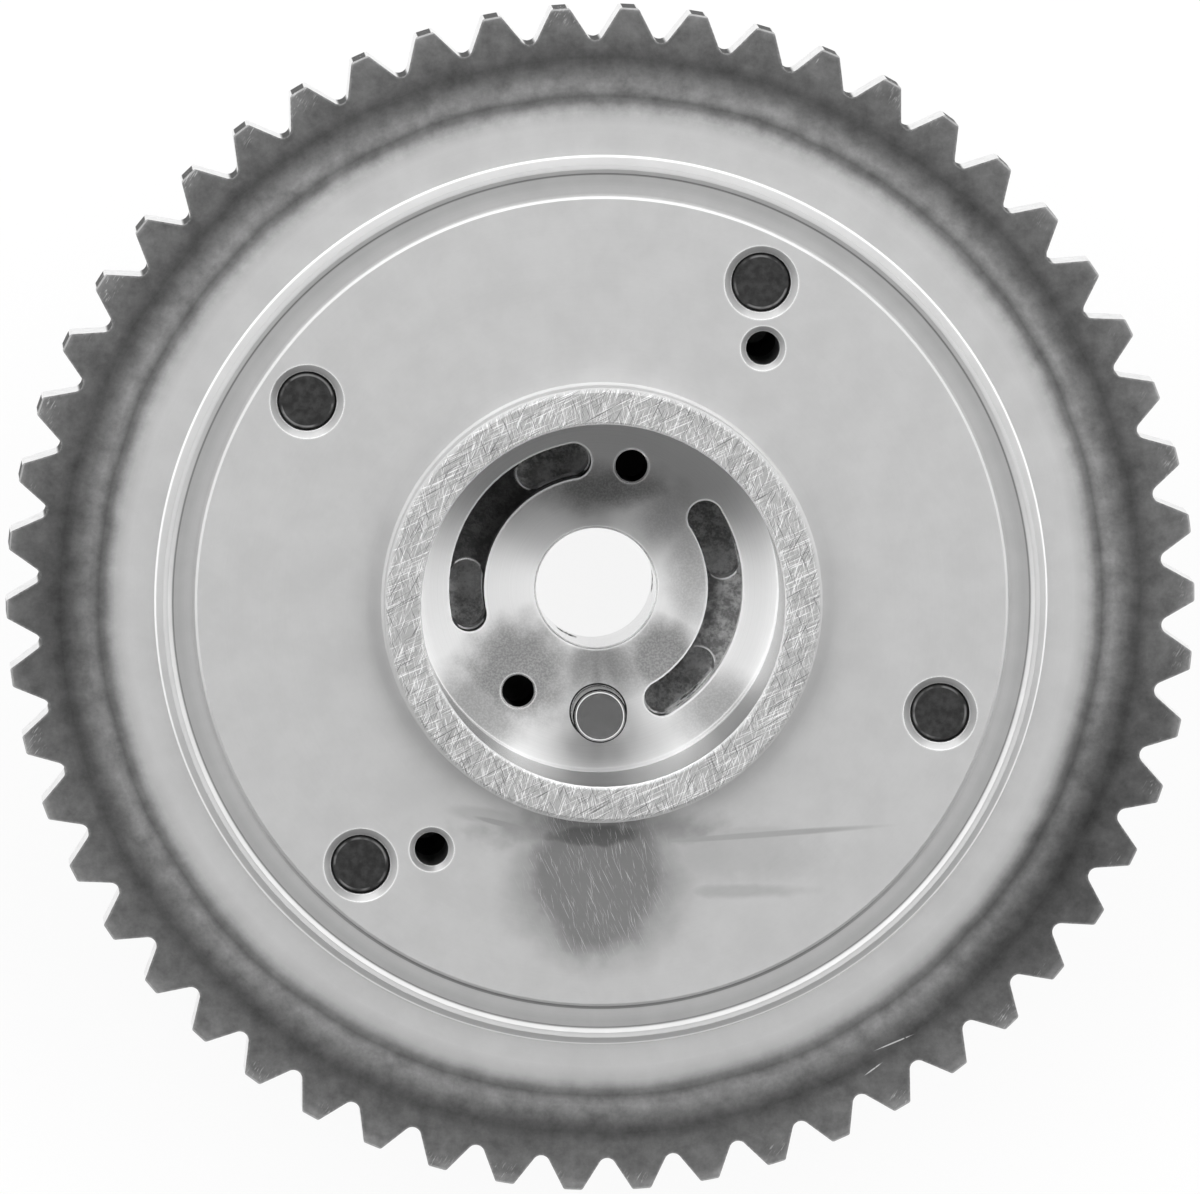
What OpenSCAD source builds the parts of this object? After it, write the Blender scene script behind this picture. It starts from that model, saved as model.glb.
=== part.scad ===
// Vane-type cam phaser: a chain sprocket bolted to a lobed stator, with a vaned rotor that
// turns a few degrees inside it. Millimetres. The axis is +Z, the camshaft comes from above,
// and the heads of the cover bolts stand on the plane z = 0.

/* [Chain teeth] */
// Number of sprocket teeth
tooth_count = 54; // [52:2:58]
// Pitch of the toothed chain
chain_pitch = 6.35; // [6.2:0.05:6.6]
// Tooth tips beyond the pitch circle
tip_rise = 0.15; // [0.05:0.05:0.3]
// Depth of a tooth from tip to root
tooth_depth = 3.0; // [2.6:0.1:3.2]
// Slope of a tooth's flank from its own centre line, in degrees
flank_angle = 29.5; // [27:0.5:31]
// Fillet radius at the tooth roots
root_fillet = 0.83; // [0.6:0.01:0.95]
// Angle of the first tooth
tooth_phase = 0.6; // [0:0.1:6.6]
// Width of the teeth along the axis
tooth_w = 5.5; // [5:0.5:6.5]

/* [Sprocket plate] */
// Thickness of the plate at its raised disc
plate_t = 9; // [8.5:0.5:11]
// Radius of the raised disc
disc_r = 37.5; // [37:0.1:38]
// Outer radius of the ledge around the disc
ledge_r = 39.5; // [39.3:0.1:39.7]
// Radius where the slope outside the ledge meets the rim
slope_r = 41.2; // [40.9:0.1:41.8]
// Drop from the disc to the ledge
ledge_drop = 0.5; // [0.4:0.1:0.6]
// Drop from the disc to the rim's face
rim_drop = 1.5; // [1.3:0.1:1.8]
// Outer radius of the collar
collar_r = 20.1; // [19.5:0.1:21]
// Height of the collar above the disc
collar_h = 3.5; // [3:0.1:5]
// Radius of the journal that runs on the camshaft's nose
journal_r = 16.75; // [16.65:0.05:16.85]
// Angle of the first cover bolt
first_bolt_angle = -18.5; // [-30:0.5:0]
// Angle between neighbouring bolts, except at the wide chamber
bolt_step = 82; // [81:0.5:82]
// Radius of the bolt circle
bolt_circle_r = 32.9; // [32:0.05:33.5]

/* [Stator and cover] */
// Height of the stator between the plate and the cover
stator_h = 21; // [20:0.5:26]
// Outer radius of the stator
stator_r = 45; // [44.5:0.1:46]
// Radius of the pressure chambers
chamber_r = 40; // [39.5:0.1:40.5]
// Half of a stator lobe's width, in degrees
lobe_half = 18.5; // [18:0.25:18.5]
// Thickness of the front cover
cover_t = 5; // [4:0.5:6]
// Radius of the hole in the front cover
cover_bore_r = 15.06; // [15.05:0.01:15.1]

/* [Rotor] */
// Radius of the rotor's hub
hub_r = 23.5; // [23:0.1:24]
// Width of the three slim vanes, in degrees
slim_vane = 16; // [14:0.5:16]
// Width of the vane that holds the lock pin, in degrees
wide_vane = 51.5; // [50:0.5:51.5]
// Depth of the cam seat below the rotor's rear face
seat_depth = 4; // [3.6:0.1:4.4]
// Radius of the cam bolt's hole
cam_bolt_r = 5.55; // [5.2:0.05:6]
// Radius of the recess for the cam bolt's head
bolt_head_recess_r = 11.5; // [11:0.1:12]
// Radius of the oil ports in the cam seat
port_circle_r = 12; // [11.8:0.1:12.2]
// Width of the curved oil slots
slot_w = 3.25; // [3:0.05:3.5]
// Depth of the curved oil slots
slot_depth = 2.2; // [1.5:0.1:2.5]
// Depth of the pockets at the ends of the slots
pocket_depth = 5.5; // [5.4:0.1:5.8]
// Radius of the dowel that times the camshaft
dowel_r = 2.5; // [2.4:0.05:2.6]
// Height of the dowel above the cam seat
dowel_h = 3.9; // [3.5:0.1:4.2]

/* [Lock pin] */
// Distance of the lock pin from the axis
lock_circle_r = 31; // [30.8:0.1:31.2]
// Radius of the pin's nose
lock_nose_r = 3.5; // [3.3:0.1:3.6]
// Radius of the pin's head
lock_head_r = 4.7; // [4.6:0.05:4.75]

/* [Hidden] */
$fn = 96;
// Running gaps between the rotor and the stator, at the faces, the hub and the vane tips
face_gap = 0.03;
hub_gap = 0.08;
tip_gap = 0.1;
// Gap round a piece that is pushed into its seat
seat_gap = 0.005;
// Overlap that makes a cut go cleanly through
eps = 0.5;

// Heights along the axis, from the bolt heads up to the collar
bolt_head_h = 4.5;
register_l = 1;
z_cover = bolt_head_h;
z_stator = z_cover + cover_t;
z_seat = z_stator + stator_h;
z_disc = z_seat + plate_t;
z_collar = z_disc + collar_h;
z_ledge = z_disc - ledge_drop;
z_rim = z_disc - rim_drop;
z_teeth = z_rim - tooth_w;
z_back = z_seat - register_l;
z_rotor_front = z_stator + face_gap;
z_rotor_rear = z_seat - face_gap;

// Tooth form: a gap between two teeth opens at the flank's slope plus half a tooth's turn
pitch_r = chain_pitch / (2 * sin(180 / tooth_count));
tip_r = pitch_r + tip_rise;
root_r = tip_r - tooth_depth;
gap_half = flank_angle + 180 / tooth_count;
tip_break = 0.12;
tip_break_angle = 62;

// Edge breaks on the turned pieces
tip_edge = 0.15;
fine_edge = 0.25;
edge = 0.4;

// Ridge between the ledge and the slope, and the hub that carries the teeth over the stator
ridge_rise = 0.3;
ridge_slope = 0.45;
ridge_top = 0.45;
rim_hub_r = root_r - 1;
register_gap = 0.03;

// Cover bolts, which screw into the sprocket plate from the front
bolt_count = 4;
bolt_angles = [for (i = [0:bolt_count - 1]) first_bolt_angle + i * bolt_step];
bolt_r = 2.68;
bolt_thread_r = 2.76;
bolt_clear_r = 3.2;
bolt_mouth_r = 3.42;
bolt_end_drop = 1;
bolt_end_break = 0.15;
bolt_head_r = 5;
bolt_socket_r = 2.9;
bolt_socket_depth = 2.4;

// Assembly holes beside two of the bolts, as [angle, radius from the axis]
tool_holes = [[57.6, 27.7], [235.5, 27.7]];
tool_hole_r = 1.57;
tool_hole_mouth = 0.52;
tool_hole_depth = 14;

// Vanes at the parked end of their travel, each just clear of the lobe before it
slim_park_gap = 2;
wide_park_gap = 0.25;
wide_index = bolt_count - 1;
vane_widths = [for (i = [0:bolt_count - 1]) i == wide_index ? wide_vane : slim_vane];
vane_angles = [for (i = [0:bolt_count - 1])
    bolt_angles[i] + lobe_half + vane_widths[i] / 2
        + (i == wide_index ? wide_park_gap : slim_park_gap)];
vane_r = chamber_r - tip_gap;

// Spring-loaded seals in the vane tips and in the lobes' inner faces
seal_w = 2;
seal_side_gap = 0.02;
seal_depth = 2.0;
seal_slot_depth = 2.6;
seal_end_gap = 0.05;
seal_face_gap = 0.05;
leaf_t = 0.15;
leaf_w = 1.6;
leaf_end_gap = 1.5;
leaf_steps = 8;
leaf_gap = 0.03;
lobe_r = hub_r + hub_gap;
lobe_seal_face = hub_r + seal_face_gap;
lobe_seal_back = lobe_seal_face + seal_depth;
vane_seal_face = chamber_r - seal_face_gap;
vane_seal_back = vane_seal_face - seal_depth;

// Rotor: the cam seat, its ports and the front boss that the cover runs on
recess_r = journal_r + 0.3;
z_cam_seat = z_seat - seat_depth;
boss_r = 15;
boss_drop = 2.5;
bolt_grip = 9.5;
z_bolt_seat = z_cam_seat - bolt_grip;
// Curved oil slots, as [start, end] angles and how far the pockets reach in from the start and the end
oil_slots = [[100, 191.5, 18.5, 16], [-59.5, 32.5, 22, 22]];
pocket_step = 0.1;
pocket_inset = 0.4;
slot_end_swell = 0.02;
// Drilled feed holes, as [angle, radius from the axis]
feed_holes = [[73.8, 11.8], [233, 12]];
feed_hole_r = 1.5;
feed_hole_depth = 5.5;
feed_mouth = 0.15;
dowel_angle = 271;
dowel_circle_r = 11.55;
dowel_sunk = 5.5;
dowel_mouth = 0.12;
dowel_mouth_depth = 0.1;
dowel_foot_r = dowel_r - 0.25;
// Drilled oil ways to the two sides of the vanes
way_r = 1.1;
z_pocket_way = z_cam_seat - 4.2;
z_bore_way = z_bolt_seat + 2.2;
bore_way_lead = 2.9;
pocket_ways = [22.5, 109, 187.5, -49];

// Lock pin in the wide vane, with its nose level with the rotor's rear face
lock_angle = vane_angles[wide_index];
lock_gap = 0.04;
lock_nose_l = 12;
lock_head_l = 3.5;
lock_hollow_r = 2.7;
lock_hollow_l = 12.5;
z_lock_nose = z_rotor_rear - 0.02;
z_lock_tail = z_lock_nose - lock_nose_l - lock_head_l;
z_lock_step = z_lock_nose - lock_nose_l + 3.4;
lock_bush_r = 5.2;
lock_bush_l = 5;
lock_bush_gap = 0.12;
spring_seat_l = 2;
spring_wire_r = 0.35;
spring_r = 2.2;
spring_turns = 7;
spring_sides = 8;
spring_steps = 14;
vent_r = 1.2;

// Places its children at an angle and a distance from the axis
module polar(angle, r) {
    rotate([0, 0, angle]) translate([r, 0, 0]) children();
}

// A block of a ring, between two radii and two heights
module sector(start, sweep, r0, r1, z0, z1) {
    rotate([0, 0, start])
        rotate_extrude(angle = sweep)
            translate([r0, z0]) square([r1 - r0, z1 - z0]);
}

// A cylinder from one height to another
module post(r, z0, z1) {
    translate([0, 0, z0]) cylinder(r = r, h = z1 - z0);
}

// A cone frustum from one height to another
module taper(r0, r1, z0, z1) {
    translate([0, 0, z0]) cylinder(r1 = r0, r2 = r1, h = z1 - z0);
}

// A drilled way along a radius
module radial_way(angle, r0, r1, z) {
    rotate([0, 0, angle]) translate([r0, 0, z]) rotate([0, 90, 0]) cylinder(r = way_r, h = r1 - r0);
}

// The space between two teeth: a round root, straight flanks and a flare that breaks the tips
module tooth_gap() {
    root_centre = root_r + root_fillet;
    foot = [root_fillet * cos(gap_half), root_centre - root_fillet * sin(gap_half)];
    break_y = tip_r - tip_break;
    break_x = foot[0] + (break_y - foot[1]) * tan(gap_half);
    out_y = tip_r + 1;
    out_x = break_x + (out_y - break_y) * tan(tip_break_angle);
    translate([0, 0, z_teeth - eps]) linear_extrude(tooth_w + 2 * eps) rotate([0, 0, -90]) {
        translate([0, root_centre]) circle(r = root_fillet);
        polygon([
            [-foot[0], foot[1]], [-break_x, break_y], [-out_x, out_y],
            [out_x, out_y], [break_x, break_y], [foot[0], foot[1]],
            [0, root_centre]
        ]);
    }
}

// Half section of the turned plate, from the journal out to the rim
module plate_section() {
    polygon([
        [journal_r, z_seat], [journal_r, z_collar - fine_edge],
        [journal_r + fine_edge, z_collar], [collar_r - edge, z_collar],
        [collar_r, z_collar - edge], [collar_r, z_disc + fine_edge], [collar_r + fine_edge, z_disc],
        [disc_r - fine_edge, z_disc], [disc_r, z_disc - fine_edge], [disc_r, z_ledge],
        [ledge_r, z_ledge], [ledge_r + ridge_slope, z_ledge + ridge_rise],
        [ledge_r + ridge_slope + ridge_top, z_ledge + ridge_rise], [slope_r, z_rim],
        [tip_r - tip_edge, z_rim], [tip_r, z_rim - tip_edge],
        [tip_r, z_teeth + tip_edge], [tip_r - tip_edge, z_teeth],
        [rim_hub_r, z_teeth], [rim_hub_r, z_back + edge], [rim_hub_r - edge, z_back],
        [stator_r + register_gap, z_back], [stator_r + register_gap, z_seat]
    ]);
}

module sprocket_plate() {
    color("silver") difference() {
        rotate_extrude() plate_section();
        for (i = [0:tooth_count - 1]) rotate([0, 0, (i + 0.5) * 360 / tooth_count + tooth_phase]) tooth_gap();
        for (a = bolt_angles) polar(a, bolt_circle_r) {
            post(bolt_thread_r, z_seat - eps, z_disc + eps);
            taper(bolt_thread_r, bolt_mouth_r, z_disc - (bolt_mouth_r - bolt_thread_r), z_disc + 0.001);
        }
        for (h = tool_holes) polar(h[0], h[1]) {
            post(tool_hole_r, z_seat - eps, z_disc + eps);
            taper(tool_hole_r, tool_hole_r + tool_hole_mouth, z_disc - tool_hole_mouth, z_disc + 0.001);
        }
        polar(lock_angle, lock_circle_r) post(lock_bush_r + seat_gap, z_seat - eps, z_seat + lock_bush_l);
    }
}

module stator_housing() {
    color("dimgray") difference() {
        rotate_extrude() polygon([
            [lobe_r, z_stator], [stator_r - edge, z_stator], [stator_r, z_stator + edge],
            [stator_r, z_seat - edge], [stator_r - edge, z_seat], [lobe_r, z_seat]
        ]);
        for (i = [0:bolt_count - 1]) {
            sector(bolt_angles[i] + lobe_half, chamber_sweep(i), lobe_r - eps, chamber_r,
                z_stator - eps, z_seat + eps);
            polar(bolt_angles[i], bolt_circle_r) post(bolt_clear_r, z_stator - eps, z_seat + eps);
            polar(bolt_angles[i], lobe_r - eps)
                translate([0, -seal_w / 2, z_stator - eps])
                    cube([seal_slot_depth + eps, seal_w, stator_h + 2 * eps]);
        }
        for (h = tool_holes) polar(h[0], h[1]) post(tool_hole_r, z_seat - tool_hole_depth, z_seat + eps);
    }
}

// Sweep of the chamber that follows a lobe
function chamber_sweep(i) =
    (i == wide_index ? 360 - (bolt_count - 1) * bolt_step : bolt_step) - 2 * lobe_half;

module front_cover() {
    cover_r = stator_r - 0.5;
    color("darkgray") difference() {
        rotate_extrude() polygon([
            [cover_bore_r + fine_edge, z_cover], [cover_r - edge, z_cover], [cover_r, z_cover + edge],
            [cover_r, z_stator - fine_edge], [cover_r - fine_edge, z_stator],
            [cover_bore_r, z_stator], [cover_bore_r, z_cover + fine_edge]
        ]);
        for (a = bolt_angles) polar(a, bolt_circle_r) post(bolt_clear_r, z_cover - eps, z_stator + eps);
        polar(lock_angle, lock_circle_r) post(vent_r, z_cover - eps, z_stator + eps);
    }
}

module cover_bolt() {
    z_end = z_disc - bolt_end_drop;
    difference() {
        rotate_extrude() polygon([
            [0, 0], [bolt_head_r - edge, 0], [bolt_head_r, edge], [bolt_head_r, z_cover],
            [bolt_r, z_cover], [bolt_r, z_end - bolt_end_break], [bolt_r - bolt_end_break, z_end], [0, z_end]
        ]);
        translate([0, 0, -eps]) cylinder(r = bolt_socket_r, h = bolt_socket_depth + eps, $fn = 6);
    }
}

module cover_bolts() {
    color("#2b2b2b") for (a = bolt_angles) polar(a, bolt_circle_r) cover_bolt();
}

module lock_bush() {
    bore_r = lock_nose_r + lock_bush_gap;
    color("gainsboro") polar(lock_angle, lock_circle_r) rotate_extrude() polygon([
        [bore_r + edge, z_seat], [lock_bush_r, z_seat], [lock_bush_r, z_seat + lock_bush_l],
        [bore_r, z_seat + lock_bush_l], [bore_r, z_seat + edge]
    ]);
}

// A seal strip that stands along the axis, with a curved face from radius r0 to r1
module seal_strip(angle, r0, r1, face_r, convex) {
    z0 = z_stator + seal_end_gap;
    h = stator_h - 2 * seal_end_gap;
    w = seal_w - 2 * seal_side_gap;
    rotate([0, 0, angle]) {
        if (convex) intersection() {
            translate([r0, -w / 2, z0]) cube([r1 - r0, w, h]);
            post(face_r, z0 - eps, z0 + h + eps);
        }
        else difference() {
            translate([r0, -w / 2, z0]) cube([r1 - r0, w, h]);
            post(face_r, z0 - eps, z0 + h + eps);
        }
    }
}

// A bowed leaf spring that stands along the axis between two radii
module leaf_spring(angle, r0, r1) {
    z0 = z_stator + leaf_end_gap;
    h = stator_h - 2 * leaf_end_gap;
    bow = r1 - r0 - leaf_t;
    outer = [for (k = [0:leaf_steps])
        [r0 + leaf_t + bow * sin(180 * k / leaf_steps), z0 + h * k / leaf_steps]];
    inner = [for (k = [leaf_steps:-1:0])
        [r0 + bow * sin(180 * k / leaf_steps), z0 + h * k / leaf_steps]];
    rotate([0, 0, angle]) translate([0, leaf_w / 2, 0]) rotate([90, 0, 0])
        linear_extrude(leaf_w) polygon(concat(outer, inner));
}

module lobe_seal(i) {
    color("#3a3a38") seal_strip(bolt_angles[i], hub_r - 0.2, lobe_seal_back, lobe_seal_face, false);
}

module lobe_seal_spring(i) {
    color("lightsteelblue")
        leaf_spring(bolt_angles[i], lobe_seal_back + leaf_gap, lobe_r + seal_slot_depth - leaf_gap);
}

module vane_seal(i) {
    color("#3a3a38") seal_strip(vane_angles[i], vane_seal_back, chamber_r, vane_seal_face, true);
}

module vane_seal_spring(i) {
    color("lightsteelblue")
        leaf_spring(vane_angles[i], vane_r - seal_slot_depth + leaf_gap, vane_seal_back - leaf_gap);
}

// A curved slot with round ends, cut down from the cam seat
module arc_slot(start, end, w, depth) {
    reach = 2 * port_circle_r;
    middle = (start + end) / 2;
    translate([0, 0, z_cam_seat - depth]) linear_extrude(depth + eps) {
        intersection() {
            difference() {
                circle(r = port_circle_r + w / 2);
                circle(r = port_circle_r - w / 2);
            }
            polygon(concat([[0, 0]], [for (a = [start, middle, end]) reach * [cos(a), sin(a)]]));
        }
        for (a = [start, end]) translate(port_circle_r * [cos(a), sin(a)]) circle(r = w / 2 + slot_end_swell);
    }
}

// The turned blank, cut away between the vanes
module rotor_blank() {
    z_boss = z_cover + boss_drop;
    difference() {
        rotate_extrude() polygon([
            [cam_bolt_r, z_bolt_seat], [bolt_head_recess_r, z_bolt_seat], [bolt_head_recess_r, z_boss],
            [boss_r - fine_edge, z_boss], [boss_r, z_boss + fine_edge], [boss_r, z_rotor_front],
            [vane_r, z_rotor_front], [vane_r, z_rotor_rear],
            [recess_r, z_rotor_rear], [recess_r, z_cam_seat + fine_edge], [recess_r - fine_edge, z_cam_seat],
            [cam_bolt_r + fine_edge, z_cam_seat], [cam_bolt_r, z_cam_seat - fine_edge]
        ]);
        for (i = [0:bolt_count - 1])
            sector(vane_end(i), vane_start(i + 1) - vane_end(i), hub_r, vane_r + eps,
                z_rotor_front - eps, z_rotor_rear + eps);
    }
}

// Angles of a vane's two sides, with the first vane also counted as the one after the last
function vane_end(i) = vane_angles[i] + vane_widths[i] / 2;
function vane_start(i) = i < bolt_count
    ? vane_angles[i] - vane_widths[i] / 2
    : vane_angles[0] - vane_widths[0] / 2 + 360;

// The cam seat with its two oil slots, feed holes and dowel hole
module rotor_seat() {
    difference() {
        rotor_blank();
        for (s = oil_slots) arc_slot(s[0], s[1], slot_w, slot_depth);
        for (h = feed_holes) polar(h[0], h[1]) {
            post(feed_hole_r, z_cam_seat - feed_hole_depth, z_cam_seat + eps);
            taper(feed_hole_r, feed_hole_r + feed_mouth, z_cam_seat - feed_mouth, z_cam_seat + 0.001);
        }
        polar(dowel_angle, dowel_circle_r) {
            post(dowel_foot_r + seat_gap, z_cam_seat - dowel_sunk, z_cam_seat + eps);
            post(dowel_r + dowel_mouth, z_cam_seat - dowel_mouth_depth, z_cam_seat + eps);
        }
    }
}

// The deeper pockets in the ends of the slots
module rotor_pockets() {
    w = slot_w - 2 * pocket_step;
    difference() {
        rotor_seat();
        for (s = oil_slots) {
            arc_slot(s[0] + pocket_inset, s[0] + s[2], w, pocket_depth);
            arc_slot(s[1] - s[3], s[1] - pocket_inset, w, pocket_depth);
        }
    }
}

// The drilled ways from the pockets and from the bore to the chambers
module rotor_ways() {
    difference() {
        rotor_pockets();
        for (a = pocket_ways) radial_way(a, port_circle_r, hub_r + eps, z_pocket_way);
        for (i = [0:bolt_count - 1])
            radial_way(vane_start(i) - bore_way_lead, cam_bolt_r - 1, hub_r + eps, z_bore_way);
    }
}

module rotor() {
    color("lightgray") difference() {
        rotor_ways();
        for (i = [0:bolt_count - 1])
            polar(vane_angles[i], vane_r - seal_slot_depth)
                translate([0, -seal_w / 2, z_stator]) cube([seal_slot_depth + eps, seal_w, stator_h]);
        polar(lock_angle, lock_circle_r) {
            post(lock_nose_r + lock_gap, z_stator, z_seat);
            post(lock_head_r + lock_gap, z_stator, z_lock_step);
        }
    }
}

// Timing dowel, with a thinner foot that is pressed into the rotor
module cam_dowel() {
    z0 = z_cam_seat - dowel_sunk + leaf_gap;
    z_step = z_cam_seat - dowel_mouth_depth;
    z1 = z_cam_seat + dowel_h;
    color("silver") polar(dowel_angle, dowel_circle_r) rotate_extrude() polygon([
        [0, z0], [dowel_foot_r - edge, z0], [dowel_foot_r, z0 + edge], [dowel_foot_r, z_step],
        [dowel_r, z_step], [dowel_r, z1 - fine_edge], [dowel_r - fine_edge, z1], [0, z1]
    ]);
}

module lock_pin() {
    z_shoulder = z_lock_nose - lock_nose_l;
    color("gainsboro") polar(lock_angle, lock_circle_r) rotate_extrude() polygon([
        [lock_hollow_r, z_lock_tail], [lock_head_r, z_lock_tail], [lock_head_r, z_shoulder],
        [lock_nose_r, z_shoulder], [lock_nose_r, z_lock_nose - edge], [lock_nose_r - edge, z_lock_nose],
        [0, z_lock_nose], [0, z_lock_tail + lock_hollow_l], [lock_hollow_r, z_lock_tail + lock_hollow_l]
    ]);
}

// Disc pressed into the front of the lock pin's bore, with a vent through it
module lock_spring_seat() {
    disc_edge = lock_head_r + lock_gap - seat_gap;
    z1 = z_rotor_front + spring_seat_l;
    color("gainsboro") polar(lock_angle, lock_circle_r) rotate_extrude() polygon([
        [vent_r, z_rotor_front], [disc_edge, z_rotor_front], [disc_edge, z1], [vent_r, z1]
    ]);
}

// Centre line of the coil spring at a share of its length, with its end turns closed up
function coil_point(t, z0, z1) = let (
    a = 360 * spring_turns * t,
    rise = t - sin(360 * t) / 360 * 40)
    [spring_r * cos(a), spring_r * sin(a), z0 + (z1 - z0) * rise];

module lock_spring() {
    z0 = z_rotor_front + spring_seat_l + spring_wire_r + leaf_gap;
    z1 = z_lock_tail + lock_hollow_l - spring_wire_r - leaf_gap;
    rings = spring_turns * spring_steps;
    points = [for (k = [0:rings], s = [0:spring_sides - 1]) let (
        p = coil_point(k / rings, z0, z1),
        a = 360 * spring_turns * k / rings,
        b = 360 * s / spring_sides)
        p + spring_wire_r * [cos(b) * cos(a), cos(b) * sin(a), sin(b)]];
    sides = [for (k = [0:rings - 1], s = [0:spring_sides - 1]) let (n = (s + 1) % spring_sides)
        [k * spring_sides + s, k * spring_sides + n, (k + 1) * spring_sides + n, (k + 1) * spring_sides + s]];
    first = [[for (s = [spring_sides - 1:-1:0]) s]];
    last = [[for (s = [0:spring_sides - 1]) rings * spring_sides + s]];
    color("lightsteelblue") polar(lock_angle, lock_circle_r)
        polyhedron(points, concat(sides, first, last));
}

sprocket_plate();
stator_housing();
front_cover();
cover_bolts();
lock_bush();
rotor();
cam_dowel();
lock_spring_seat();
lock_spring();
lock_pin();
for (i = [0:bolt_count - 1]) {
    lobe_seal(i);
    lobe_seal_spring(i);
    vane_seal(i);
    vane_seal_spring(i);
}
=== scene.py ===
import math

import bpy
from mathutils import Matrix, Vector

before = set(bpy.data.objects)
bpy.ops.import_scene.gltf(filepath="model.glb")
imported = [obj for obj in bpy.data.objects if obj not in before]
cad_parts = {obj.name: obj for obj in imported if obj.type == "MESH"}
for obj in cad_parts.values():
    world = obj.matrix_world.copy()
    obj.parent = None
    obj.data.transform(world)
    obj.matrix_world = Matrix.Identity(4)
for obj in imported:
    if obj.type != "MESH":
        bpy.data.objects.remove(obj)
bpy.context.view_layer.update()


# Stator housing: a ring of pressed and sintered steel powder, whose four lobes make the oil chambers.
# It is sized in a die after sintering, so its skin is an even dark grey with fine open pores.
pores_per_metre = 4200.0
clouds_per_metre = 160.0
cloud_contrast = 2.0
sinter_greys = (0.2, 0.44)
sinter_roughness = (0.42, 0.66)
pore_strength = 0.25
pore_depth = 0.00004


def wire(tree, kind, inputs=None, **settings):
    """A shader node with its settings made and its inputs set or linked."""
    made = tree.nodes.new(kind)
    for key, value in settings.items():
        setattr(made, key, value)
    for key, value in (inputs or {}).items():
        if isinstance(value, bpy.types.NodeSocket):
            tree.links.new(value, made.inputs[key])
        else:
            made.inputs[key].default_value = value
    return made


def calc(tree, operation, first, second=0.0, clamp=False):
    """The result of one sum on shader values."""
    made = wire(tree, "ShaderNodeMath", {0: first, 1: second}, operation=operation, use_clamp=clamp)
    return made.outputs[0]


def spread(tree, share, low, high):
    """A share from 0 to 1 spread between two values."""
    made = wire(tree, "ShaderNodeMapRange", {"Value": share, "To Min": low, "To Max": high})
    return made.outputs["Result"]


def own_place(tree):
    """Where a point is on its piece, which moves with the piece."""
    return wire(tree, "ShaderNodeTexCoord").outputs["Object"]


def grain(tree, place, scale, detail=2.0, roughness=0.5):
    """Even speckle, with scale in grains per metre."""
    inputs = {"Vector": place, "Scale": scale, "Detail": detail, "Roughness": roughness}
    return wire(tree, "ShaderNodeTexNoise", inputs).outputs["Fac"]


def tint(tree, share, first, second):
    """One colour or direction turning into another by a share from 0 to 1."""
    mixer = tree.nodes.new("ShaderNodeMix")
    mixer.data_type = "RGBA"
    for index, value in ((0, share), (6, first), (7, second)):
        if isinstance(value, bpy.types.NodeSocket):
            tree.links.new(value, mixer.inputs[index])
        else:
            mixer.inputs[index].default_value = value
    return mixer.outputs[2]


def grey(level):
    """A neutral colour."""
    return (level, level, level, 1)


def greys(tree, share, first, second):
    """One grey turning into another by a share from 0 to 1."""
    return tint(tree, share, grey(first), grey(second))


def bumps(tree, height, strength, depth):
    """The normal of a surface with small bumps, as high as the depth."""
    made = wire(tree, "ShaderNodeBump", {"Height": height, "Strength": strength, "Distance": depth})
    return made.outputs["Normal"]


def new_metal(name):
    """A bare metal finish, with its node tree and its shader."""
    metal = bpy.data.materials.new(name)
    metal.use_nodes = True
    skin = metal.node_tree.nodes["Principled BSDF"]
    skin.inputs["Metallic"].default_value = 1.0
    return metal, metal.node_tree, skin


def dress(finish, *names):
    """Gives CAD nodes a finish in place of their plain one."""
    for name in names:
        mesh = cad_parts[name].data
        mesh.materials.clear()
        mesh.materials.append(finish)


sintered_steel, tree, skin = new_metal("sintered_steel")
place = own_place(tree)
pores = grain(tree, place, pores_per_metre, detail=3.0, roughness=0.6)
clouds = grain(tree, place, clouds_per_metre)
shade = calc(tree, "MULTIPLY", pores, clouds)
shade = calc(tree, "MULTIPLY", shade, cloud_contrast, clamp=True)
tree.links.new(greys(tree, shade, *sinter_greys), skin.inputs["Base Color"])
tree.links.new(spread(tree, pores, *sinter_roughness), skin.inputs["Roughness"])
tree.links.new(bumps(tree, pores, pore_strength, pore_depth), skin.inputs["Normal"])
dress(sintered_steel, "stator_housing")


# Rotor: a steel hub with four vanes, slotted and drilled for oil. Its cam seat is turned on a lathe, so
# fine rings spread the light across them, while the slots and pockets keep the dull skin of the sinter.
seat_top = 0.0265
slot_floor = 0.0243
slot_depth_limit = 0.0188
slot_middle = 0.012
slot_half = 0.0032
pocket_line_half = 0.0013
# Middle of each slot and how far it reaches to each side, in degrees
slot_bearings = (145.75, -13.5)
slot_reach = 54.0
bore_edge = 0.0058
patch_depth = 0.02
# Painted highlights in the pockets, as middle and reach
pocket_highlights = [
    ((-0.0014, 0.0109), 0.0018), ((-0.0048, 0.0101), 0.0013), ((-0.0117, 0.0002), 0.0028),
    ((0.0113, 0.0020), 0.0022), ((0.0096, -0.0076), 0.0020),
]
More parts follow.
